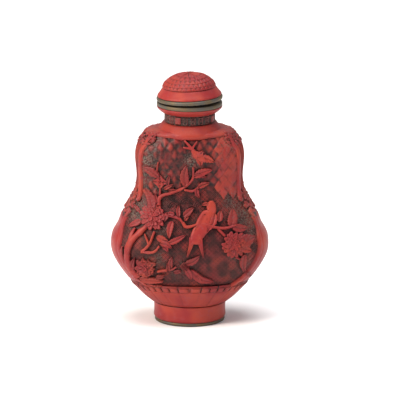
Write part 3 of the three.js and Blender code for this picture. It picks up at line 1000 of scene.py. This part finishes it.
def side_band(form, way):
    """A side and its strips, from the front panel round to the back one."""
    height = form.verts.layers.float["height"]
    bottom, top = PANEL[0][0] - 0.4, PANEL[-1][0] + 0.7
    half = SIDE_COLUMNS // 2
    for vert, i, j in grid(form, SIDE_COLUMNS, SIDE_ROWS):
        z = bottom + (top - bottom) * j / SIDE_ROWS
        reach = smooth_edge_length(z)
        column = min(i, SIDE_COLUMNS - i)
        if column <= STRIP_COLUMNS:
            inward = (STRIP + 0.25) * max(column - 1, 0) / (STRIP_COLUMNS - 1)
            if column == 0:
                inward = -WALL_SLANT
        else:
            share = (column - STRIP_COLUMNS) / (half - STRIP_COLUMNS)
            inward = STRIP + 0.25 + (reach - STRIP - 0.25) * share
        lift, plain = side_lift(inward, z)
        if column == 0:
            lift = -PANEL_RECESS - 1.0
        length = reach - inward
        vert.co = on_side(length if i <= half else -length, z, lift, way)
        # The wall down to the panel and the low field are coloured dark, painted shade; the raised strips and
        # lobes stay bright.
        vert[height] = 0.0 if column == 0 else max(0.12, plain * (1 + 2 * min(lift + 0.1, 0.0)))
    return form


def side_diaper(way):
    """The carved ground of a side, over the waist and the shoulder."""

    def keep(length, z):
        return LOBE_TO + 0.2 < z < PANEL[-1][0] - 0.2 and abs(length) < smooth_edge_length(z) - STRIP - 0.05

    def place(length, z, lift):
        return on_side(length, z, lift - GROUND_LIFT - SIDE_RECESS, way)

    form = new_form()
    fine_diaper(form, keep, place, SIDE_DIAPER_MIDDLE, SIDE_DIAPER_REACH)
    height = form.verts.layers.float["height"]
    for vert in form.verts:
        vert[height] = vert[height] * 0.8 + 0.25
    return form


def waist_scrolls(form, way):
    """Curled ends where the strips stop at the waist, and the lobe between them."""
    for face in (1, -1):

        def place(inward, z, lift):
            return on_side((smooth_edge_length(z) - inward) * face, z, lift, way)

        for inward, z, radius in (
            (0.6, 39.0, 1.0), (1.9, 37.0, 1.1), (0.7, 36.6, 0.7), (2.9, 38.9, 0.8), (0.9, 34.6, 1.0),
            (2.2, 34.9, 0.7), (3.2, 36.2, 0.8), (4.2, 38.2, 0.7), (1.6, 40.4, 0.5), (2.8, 41.0, 0.5),
            (3.6, 34.4, 0.6), (4.6, 36.2, 0.7), (5.4, 37.6, 0.6),
        ):
            boss(form, (inward, z), radius, 0.75, place, tone=chance.uniform(0, 0.4), base=-0.45)
        stroke(
            form, [(5.2, 34.2), (4.9, 35.6), (5.6, 37.0), (7.0, 37.4)], lambda t: 0.75 - 0.35 * t,
            lambda t, s: 0.2 + 0.3 * math.sqrt(max(0.0, 1 - s * s)), place, along=18, base=-0.3,
        )
        stroke(
            form, [(0.7, 33.2), (0.8, 34.6), (1.9, 35.4), (2.6, 34.4)], lambda t: 0.7 - 0.3 * t,
            lambda t, s: 0.25 + 0.25 * math.sqrt(max(0.0, 1 - s * s)), place, along=16, base=-0.2,
        )


SHOULDER_KNOBS = 120


def shoulder_carving(form):
    """Small crowded scrolls over the shoulders, outside the panels."""
    for way in (1, -1):
        for _ in range(SHOULDER_KNOBS):
            z = chance.uniform(55.4, 58.9)
            length = chance.uniform(-1.0, 1.0) * min(10.0, smooth_edge_length(min(z, 57.4)) + 1.6)
            radius = chance.uniform(0.3, 0.65)

            def place(x, height, lift):
                return on_side(x, height, lift, way)

            boss(form, (length, z), radius, 0.5, place, chance.uniform(0.0, 0.7), -0.35, 0.8)


def sides():
    form = new_form()
    for way in (1, -1):
        side_band(form, way)
    bmesh.ops.recalc_face_normals(form, faces=form.faces[:])
    return form


def side_details():
    form = new_form()
    for way in (1, -1):
        waist_scrolls(form, way)
    shoulder_carving(form)
    return form


# ------------------------------------------------------------------ foot band, neck and stopper

GROOVES = 22
TABS = 44


def lappet_band():
    """Upright lappets round the lower body, under a row of small tabs."""
    form = new_form()
    height = form.verts.layers.float["height"]
    shade = form.verts.layers.float["tone"]
    low, high = 6.35, 13.0
    for vert, i, j in grid(form, 264, 30):
        z = low + (high - low) * j / 30
        turn = 2 * math.pi * i / 264
        groove = abs(math.sin(GROOVES * turn / 2))
        nearest = math.floor(GROOVES * turn / (2 * math.pi) + 0.5)
        depth = 0.4 + 0.6 * noise.noise(Vector((nearest * 2.1, 3.0, 0.0)))
        sink = (1 - step_up(groove, 0.0, 0.2)) * max(depth, 0.25)
        shelf = step_up(z, 11.1, 11.5)
        lift = 0.26 - 0.3 * sink * (1 - shelf) - 0.3 * shelf
        lift += 0.1 * math.sin(math.pi * min((z - low) / 4.8, 1.0))
        if j in (0, 30):
            lift = -0.6
        elif j == 1:
            lift = -0.1
        vert.co = around(turn, z, lift)
        # Painted shade: the grooves and the shelf under the tabs are coloured darker than the lappets.
        vert[height] = max(0.12, 1.0 - 0.95 * sink - 0.6 * shelf)
        vert[shade] = 0.2 + 0.6 * sink
    bmesh.ops.remove_doubles(form, verts=form.verts[:], dist=1e-3)
    bmesh.ops.recalc_face_normals(form, faces=form.faces[:])
    for i in range(TABS):
        turn = 2 * math.pi * (i + 0.5) / TABS

        def place(x, z, lift):
            return around(turn + x, z, lift)

        here = around(turn, 12.0, 0).xy.length
        spine = [(0.0, 11.3), (0.0, 12.7)]
        stroke(
            form, spine, lambda t: 0.84 / here, lambda t, s: 0.36 - 0.1 * s * s - 0.12 * (2 * t - 1) ** 2,
            place, across=6, along=5, tone=chance.uniform(0.0, 0.3),
        )
    return form


UNDER_GROUND = 0.3  # how far the vessel's wall lies under the carved ground
UNDER_SIDES = 1.1  # and under the plain sides


def body_rings():
    """The outside of the vessel from the middle of its underside up, then the inside."""
    foot = [
        (0.0, FOOT_HOLLOW_TOP),
        (FOOT_HOLLOW_RADIUS - 0.8, FOOT_HOLLOW_TOP),
        (FOOT_HOLLOW_RADIUS, FOOT_HOLLOW_TOP - 0.7),
        (FOOT_HOLLOW_RADIUS, FOOT_BOTTOM),
        (FOOT_RIM_RADIUS, FOOT_BOTTOM),
        (FOOT_RADIUS - 0.05, FOOT_BOTTOM + 0.4),
    ]
    rings = [round_ring(*point) for point in foot]
    steps = 12
    for i in range(steps + 1):
        z = FOOT_BOTTOM + 0.8 + (FOOT_TOP - 0.5 - FOOT_BOTTOM - 0.8) * i / steps
        rings.append(round_ring(FOOT_RADIUS - 0.12 * math.sin(math.pi * i / steps), z))
    rings += [round_ring(FOOT_RADIUS - 0.06, FOOT_TOP - 0.3), round_ring(FOOT_RADIUS - 0.3, FOOT_TOP - 0.08)]
    rings.append(round_ring(FOOT_RADIUS - 0.6, FOOT_TOP))
    rows = 90
    for i in range(rows + 1):
        z = FOOT_TOP + 0.05 + (SHOULDER_TOP - FOOT_TOP - 0.05) * i / rows
        half_width, half_depth, power = smooth_section(z)
        share = min(step_up(z, 11.8, 13.4), 1 - step_up(z, 57.2, 58.4))
        sunk = PANEL_RECESS - GROUND_LIFT + UNDER_GROUND
        rings.append((half_width - UNDER_SIDES * share, half_depth - sunk * share, power, z))
    rings += [round_ring(COLLAR_RADIUS - 1.2, SHOULDER_TOP), round_ring(BORE_RADIUS, SHOULDER_TOP)]
    for i in range(31):
        z = CAVITY_TOP + (CAVITY_FLOOR - CAVITY_TOP) * i / 30
        half_width, half_depth, power = smooth_section(z)
        rings.append((half_width - WALL, half_depth - WALL, power, z))
    rings.append(round_ring(0.0, CAVITY_FLOOR))
    return rings


def neck_rings():
    """Collar, neck and flared lip, open down the bore."""
    outside = [
        (8.4, 56.6), (9.0, 57.1), (9.5, 57.35), (9.8, 57.7), (COLLAR_RADIUS, 58.15), (9.86, 58.55),
        (9.7, 58.9), (9.35, 59.35), (8.95, 59.85), (8.55, 60.35), (8.25, 60.75), (8.05, 61.0), (7.35, 61.1),
        (7.2, 61.3), (7.2, 62.2), (7.2, 63.2), (7.2, 63.9), (7.4, 64.1), (8.2, 64.15), (8.5, 64.35),
        (8.9, 64.65), (9.3, 65.0), (9.6, 65.35), (9.75, 65.6), (LIP_RADIUS, 65.8),
    ]
    rings = [round_ring(BORE_RADIUS, 55.6)]
    rings += [round_ring(radius, z) for radius, z in outside]
    rings += [round_ring(LIP_RADIUS, LIP_TOP), round_ring(BORE_RADIUS + 0.3, LIP_TOP)]
    rings += [round_ring(BORE_RADIUS, LIP_TOP - 0.3), round_ring(BORE_RADIUS, 55.6)]
    return rings


def vessel():
    form = new_form()
    turned(form, body_rings(), 160)
    turned(form, neck_rings(), 144)
    height = form.verts.layers.float["height"]
    for vert in form.verts:
        if SHOULDER_FROM < vert.co.z < SHOULDER_TOP and vert.co.xy.length > COLLAR_RADIUS + 0.2:
            vert[height] = 0.3
    return form


NECK_FRETS = 20
FRET_STEPS = 12
NECK_BAND_RADIUS = 7.35
NECK_BAND_FROM = 61.0
NECK_BAND_HEIGHT = 3.2


def neck_band():
    """A band of small square frets round the neck, with a plain block now and then, full of old dirt."""
    form = new_form()
    height = form.verts.layers.float["height"]
    shade = form.verts.layers.float["tone"]
    columns, rows = NECK_FRETS * FRET_STEPS, 20
    for vert, i, j in grid(form, columns, rows):
        turn = 2 * math.pi * i / columns
        z = NECK_BAND_FROM + NECK_BAND_HEIGHT * j / rows
        cell = math.floor(i / FRET_STEPS)
        u = i % FRET_STEPS
        tall = 0.7 + 0.5 * noise.noise(Vector((math.cos(turn) * 1.3, math.sin(turn) * 1.3, 5.0)))
        outer = u in (2, 3, 8, 9) and 2 < j < 17
        bars = 2 <= u <= 9 and j in (3, 4, 15, 16)
        inner = u in (5, 6) and 7 < j < 13
        plain = cell % 5 == 3
        proud = (outer or bars or inner) and not plain
        lift = 0.42 * tall if proud else 0.0
        if plain:
            lift = 0.5 * step_up(min(u, FRET_STEPS - u), 0, 2) * step_up(min(j, rows - j), 1, 5)
        radius = NECK_BAND_RADIUS + lift if 0 < j < rows else NECK_BAND_RADIUS - 0.25
        vert.co = (radius * math.cos(turn), radius * math.sin(turn), z)
        # The sunk ground between the frets is coloured dark, painted shade, under the dust that dirt_at lays
        # on the neck.
        vert[height] = max(lift * 1.1 - 0.08, 0.02)
        vert[shade] = 0.35
    bmesh.ops.remove_doubles(form, verts=form.verts[:], dist=1e-3)
    bmesh.ops.recalc_face_normals(form, faces=form.faces[:])
    return form


def brass_ring(bottom, top, bore, radius):
    edge = 0.3
    form = new_form()
    profile = [
        (bore, bottom), (radius - edge, bottom), (radius - 0.1, bottom + 0.1), (radius, bottom + edge),
        (radius, top - edge), (radius - 0.1, top - 0.1), (radius - edge, top), (bore, top), (bore, bottom),
    ]
    turned(form, [round_ring(*point) for point in profile], 96)
    return form


PLATE_BOTTOM = LIP_RIM_HIGH.z + 0.3 + PLATE_RADIUS * math.sin(STOPPER_TILT)


def tilt_stopper(form):
    rotated(form, Matrix.Rotation(-STOPPER_TILT, 3, "Y"))
    bmesh.ops.translate(form, vec=(0, 0, PLATE_BOTTOM), verts=form.verts)
    return form


def stopper_plate():
    form = new_form()
    profile = [(0, 0), (9.55, 0), (9.8, 0.08), (9.9, 0.3), (9.9, 0.7), (9.8, 0.98), (9.4, 1.2), (0, 1.2)]
    turned(form, [round_ring(*point) for point in profile], 96)
    return tilt_stopper(form)


# The cap from its ledge to its crown: share of the way up, radius and height.
CAP_ROWS = [
    (0.0, 8.02, 4.05),
    (0.2, 7.62, 5.0),
    (0.4, 6.75, 5.95),
    (0.6, 5.4, 6.85),
    (0.8, 3.6, 7.6),
    (1.0, 0.0, 8.02),
]
CAP_SCALES = [34, 30, 25, 19, 12]  # scales in each row, from the ledge up


def stopper_dome():
    """A plain flared skirt under a cap of five rows of small upright scales."""
    form = new_form()
    profile = [
        (0, 1.2), (9.3, 1.2), (9.58, 1.3), (9.6, 1.5), (9.45, 1.8), (9.1, 2.2), (8.72, 2.7), (8.36, 3.2),
        (8.05, 3.65), (7.9, 3.8), (7.78, 3.95), (7.6, 4.3), (7.0, 4.6), (0, 4.6),
    ]
    turned(form, [round_ring(*point) for point in profile], 128)
    height = form.verts.layers.float["height"]
    shade = form.verts.layers.float["tone"]
    columns, rows = 200, 60
    made = grid(form, columns, rows)
    for vert, i, j in made:
        turn = 2 * math.pi * i / columns
        t = min(max((j - 1) / (rows - 1), 0.0), 1.0)
        radius = blend([(share, r) for share, r, z in CAP_ROWS], t)
        z = blend([(share, up) for share, r, up in CAP_ROWS], t)
        swell = 0.16 * math.sin(math.pi * ((t * 5) % 1.0)) if t < 0.98 else 0.0
        row = min(int(t * 5), 4)
        v = t * 5 - row
        u = (CAP_SCALES[row] * turn / (2 * math.pi) + row * 0.5) % 1.0 * 2 - 1
        arch = 1 - v - abs(u) ** 2.2
        scale = step_up(arch, -0.06, 0.22)
        rib = math.exp(-((u / 0.22) ** 2)) * step_up(arch, 0.0, 0.5)
        worn = 0.75 + 0.4 * noise.noise(Vector((math.cos(turn) * 1.6, math.sin(turn) * 1.6, t * 3)))
        lift = (0.26 * scale - 0.12 * rib) * worn - 0.16 + swell * 0.4
        outward = Vector((math.cos(turn), math.sin(turn), 0.25 + 1.6 * t)).normalized()
        place = Vector((radius * math.cos(turn), radius * math.sin(turn), z))
        if j == 0:
            place = Vector((7.2 * math.cos(turn), 7.2 * math.sin(turn), 3.9))
            lift = 0.0
        vert.co = place + outward * lift
        # The gaps between the scales and their sunk ribs are coloured darker: painted shade.
        vert[height] = max(0.2, 0.3 + 0.7 * scale * worn - 0.3 * rib)
        vert[shade] = 0.15
    bmesh.ops.remove_doubles(form, verts=[vert for vert, i, j in made], dist=1e-3)
    bmesh.ops.recalc_face_normals(form, faces=form.faces[:])
    return tilt_stopper(form)


# ------------------------------------------------------------------ putting the bottle together

red = lacquer("carved_lacquer")
smooth_red = lacquer("smooth_lacquer", carved=False)
brass = tarnished_brass("tarnished_brass")

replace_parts(put("vessel", vessel(), smooth_red), "bottle")
put("front_ground", panel_ground(), red)
put("back_ground", rotated(panel_ground(), HALF_TURN), red)
put("front_sky", sky_ground(), red)
put("back_sky", rotated(sky_ground(), HALF_TURN), red)
put("water_arcs", water_arcs(), red)
put("front_carving", front_carving(), red)
put("back_carving", back_carving(), red)
put("sides", sides(), red)
put("side_details", side_details(), red)
put("right_side_ground", side_diaper(1), red)
put("left_side_ground", side_diaper(-1), red)
put("lappet_band", lappet_band(), red)
put("neck_band", neck_band(), red)

foot_ring = brass_ring(FOOT_RIM_LOW.z, FOOT_RIM_HIGH.z + 0.3, FOOT_HOLLOW_RADIUS, FOOT_RIM_RADIUS)
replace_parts(put("foot_ring", foot_ring, brass), "foot_rim")
lip_ring = brass_ring(LIP_RIM_LOW.z - 0.3, LIP_RIM_HIGH.z, BORE_RADIUS, LIP_RADIUS)
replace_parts(put("lip_ring", lip_ring, brass), "lip_rim")
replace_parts(put("stopper_plate", stopper_plate(), brass), "stopper_base")
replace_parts(put("stopper_cap", stopper_dome(), red), "stopper_dome")

# ------------------------------------------------------------------ floor, light and camera


def stage():
    form = bmesh.new()
    bmesh.ops.create_grid(form, x_segments=1, y_segments=1, size=4.0)
    mesh = bpy.data.meshes.new("floor")
    form.to_mesh(mesh)
    form.free()
    floor = bpy.data.objects.new("floor", mesh)
    bpy.context.scene.collection.objects.link(floor)
    paper = Finish("pale_floor")
    paper.colour((0.94, 0.94, 0.94, 1.0))
    paper.rough(0.9)
    mesh.materials.append(paper.material)


def lamp(name, place, target, size, watts, tint):
    data = bpy.data.lights.new(name, "AREA")
    data.shape = "DISK"
    data.size = size
    data.energy = watts
    data.color = tint
    light = bpy.data.objects.new(name, data)
    light.location = place
    way = Vector(target) - Vector(place)
    light.rotation_euler = way.to_track_quat("-Z", "Y").to_euler()
    bpy.context.scene.collection.objects.link(light)


CAMERA_REACH = 1.8
CAMERA_ELEVATION = math.radians(14)
AIM = Vector((0.0031, 0.0, 0.0367))
FRAME_WIDTH = 0.12
MIDDLE = (0.0, 0.0, 0.035)

stage()
lamp("key", (-0.52, -0.34, 0.38), MIDDLE, 0.3, 5.2, (1.0, 0.90, 0.80))
lamp("fill", (0.5, -0.45, 0.25), MIDDLE, 0.4, 0.45, (0.92, 0.84, 1.0))
lamp("top", (0.0, -0.05, 0.7), MIDDLE, 0.6, 5.5, (1.0, 0.98, 0.98))

world = bpy.data.worlds.new("studio")
world.use_nodes = True
world.node_tree.nodes["Background"].inputs["Color"].default_value = (1.0, 1.0, 1.0, 1.0)
world.node_tree.nodes["Background"].inputs["Strength"].default_value = 0.5
bpy.context.scene.world = world
bpy.context.scene.view_settings.view_transform = "Standard"

lens = bpy.data.cameras.new("camera")
lens.sensor_width = 36.0
lens.lens = 36.0 * CAMERA_REACH / FRAME_WIDTH
lens.clip_start = 0.05
lens.clip_end = 20.0
camera = bpy.data.objects.new("camera", lens)
back = Vector((0.0, -math.cos(CAMERA_ELEVATION), math.sin(CAMERA_ELEVATION)))
camera.location = AIM + back * CAMERA_REACH
camera.rotation_euler = (-back).to_track_quat("-Z", "Y").to_euler()
bpy.context.scene.collection.objects.link(camera)
bpy.context.scene.camera = camera
